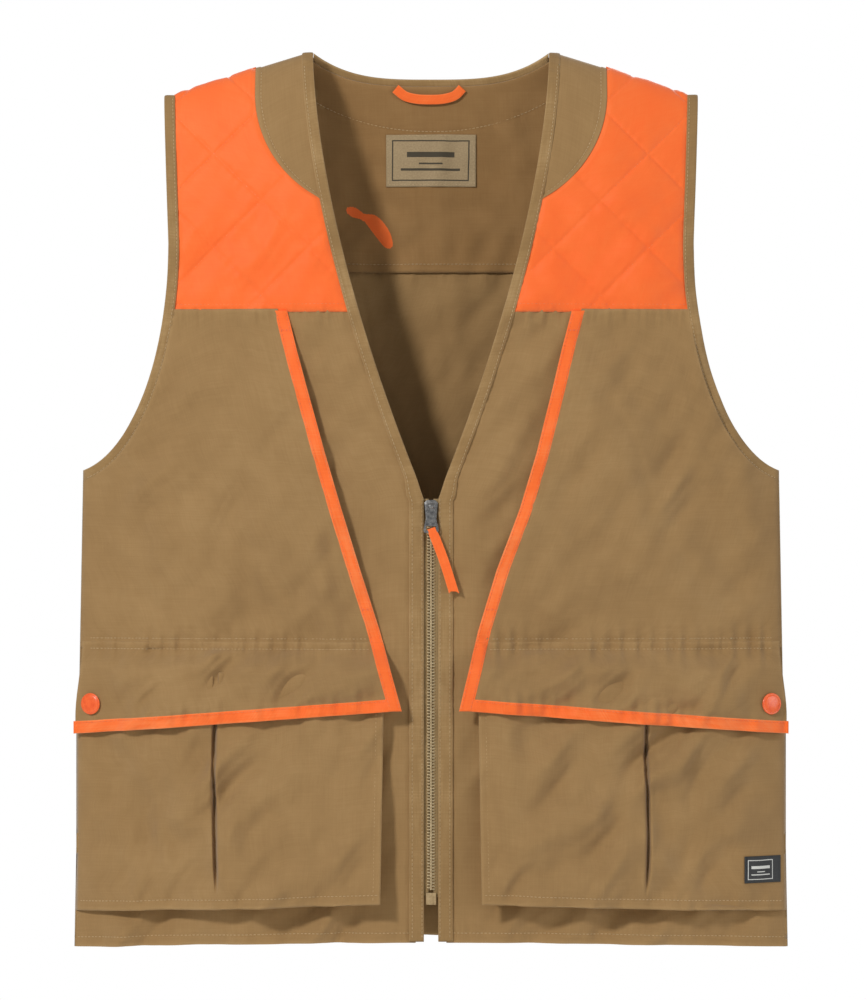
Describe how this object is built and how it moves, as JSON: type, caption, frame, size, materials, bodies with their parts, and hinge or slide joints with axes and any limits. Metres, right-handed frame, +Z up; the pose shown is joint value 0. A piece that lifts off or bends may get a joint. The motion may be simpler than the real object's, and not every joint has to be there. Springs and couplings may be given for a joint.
{
  "type": "hunting vest",
  "caption": "Sleeveless zip-front hunting vest with quilted shoulders, slanted hand pockets, snap-flap bellows pockets and a game bag on the back.",
  "frame": {"origin": "middle of the line between the two high neck points, where a hanger's neck is", "axes": "+Z up, +X towards the wearer's left, the front faces -Y"},
  "size_m": [0.59, 0.1295, 0.742],
  "materials": {
    "khaki_canvas": "matt cotton canvas",
    "khaki_binding": "matt cotton binding",
    "khaki_lining": "matt woven lining",
    "orange_quilt": "soft sheen, quilted nylon",
    "orange_tape": "ribbed tape",
    "snap_enamel": "satin enamel",
    "snap_steel": "satin",
    "gunmetal": "dark satin metal",
    "zip_tan": "moulded, tan",
    "label": "woven satin",
    "badge": "moulded soft plastic"
  },
  "bodies": {
    "back_and_shoulders": {"back_panel": "khaki_canvas", "back_yoke": "orange_quilt", "back_yoke_lining": "khaki_lining", "back_neck_band": "khaki_canvas", "back_neck_binding": "khaki_binding", "right_shoulder_yoke": "orange_quilt", "right_yoke_lining": "khaki_lining", "right_neck_patch": "khaki_canvas", "right_neck_binding": "khaki_binding", "right_armhole_binding_yoke": "khaki_binding", "right_armhole_binding_back": "khaki_binding", "left_shoulder_yoke": "orange_quilt", "left_yoke_lining": "khaki_lining", "left_neck_patch": "khaki_canvas", "left_neck_binding": "khaki_binding", "left_armhole_binding_yoke": "khaki_binding", "left_armhole_binding_back": "khaki_binding", "neck_label": "label", "game_bag": "khaki_canvas", "game_bag_tape": "orange_tape"},
    "right_front": {"right_front_panel": "khaki_canvas", "right_front_edging": "khaki_binding", "right_armhole_binding_front": "khaki_binding", "right_hand_pocket_panel": "khaki_canvas", "right_hand_pocket_tape": "orange_tape", "right_cargo_pocket": "khaki_canvas", "right_pocket_gusset": "khaki_canvas", "right_snap_stud": "snap_steel", "right_snap_post": "snap_steel", "right_zip_half": "zip_tan", "zip_box": "zip_tan"},
    "left_front": {"left_front_panel": "khaki_canvas", "left_front_edging": "khaki_binding", "left_armhole_binding_front": "khaki_binding", "left_hand_pocket_panel": "khaki_canvas", "left_hand_pocket_tape": "orange_tape", "left_cargo_pocket": "khaki_canvas", "left_pocket_gusset": "khaki_canvas", "left_snap_stud": "snap_steel", "left_snap_post": "snap_steel", "left_zip_half": "zip_tan", "pocket_badge": "badge"},
    "right_flap": {"right_flap": "khaki_canvas", "right_flap_hem_tape": "orange_tape", "right_flap_end_tape": "orange_tape", "right_snap_cap": "snap_enamel", "right_snap_socket": "snap_steel"},
    "left_flap": {"left_flap": "khaki_canvas", "left_flap_hem_tape": "orange_tape", "left_flap_end_tape": "orange_tape", "left_snap_cap": "snap_enamel", "left_snap_socket": "snap_steel"},
    "zip_slider": {"zip_slider": "gunmetal"},
    "zip_puller": {"zip_puller": "gunmetal"},
    "pull_ribbon": {"pull_ribbon": "orange_tape"},
    "hang_loop": {"hang_loop": "orange_tape"}
  },
  "joints": [
    {"name": "left_front_open", "type": "hinge", "parent": "back_and_shoulders", "child": "left_front", "pos_m": [0.2886, 0, -0.3485], "axis": [-0.0183, 0, 0.9998], "range_deg": [0, 50]},
    {"name": "right_front_open", "type": "hinge", "parent": "back_and_shoulders", "child": "right_front", "pos_m": [-0.2886, 0, -0.3485], "axis": [-0.0183, 0, -0.9998], "range_deg": [0, 50]},
    {"name": "zip_slide", "type": "slide", "parent": "right_front", "child": "zip_slider", "axis": [0, 0, -1], "range_m": [0, 0.305], "deforming": ["right_zip_half", "left_zip_half"]},
    {"name": "puller_swing", "type": "hinge", "parent": "zip_slider", "child": "zip_puller", "pos_m": [0, -0.0477, -0.378], "axis": [-1, 0, 0], "range_deg": [0, 150]},
    {"name": "ribbon_swing", "type": "hinge", "parent": "zip_puller", "child": "pull_ribbon", "pos_m": [0, -0.0477, -0.3961], "axis": [0, 1, 0], "range_deg": [-5, 45]},
    {"name": "left_flap_lift", "type": "hinge", "parent": "left_front", "child": "left_flap", "pos_m": [0.19, -0.0326, -0.4914], "axis": [-0.9882, -0.1532, 0], "range_deg": [0, 100]},
    {"name": "right_flap_lift", "type": "hinge", "parent": "right_front", "child": "right_flap", "pos_m": [-0.19, -0.0326, -0.4914], "axis": [-0.9882, 0.1532, 0], "range_deg": [0, 100]},
    {"name": "hang_loop_swing", "type": "hinge", "parent": "back_and_shoulders", "child": "hang_loop", "pos_m": [-0.002, 0.0203, -0.028], "axis": [-1, 0, 0], "range_deg": [0, 170]}
  ]
}
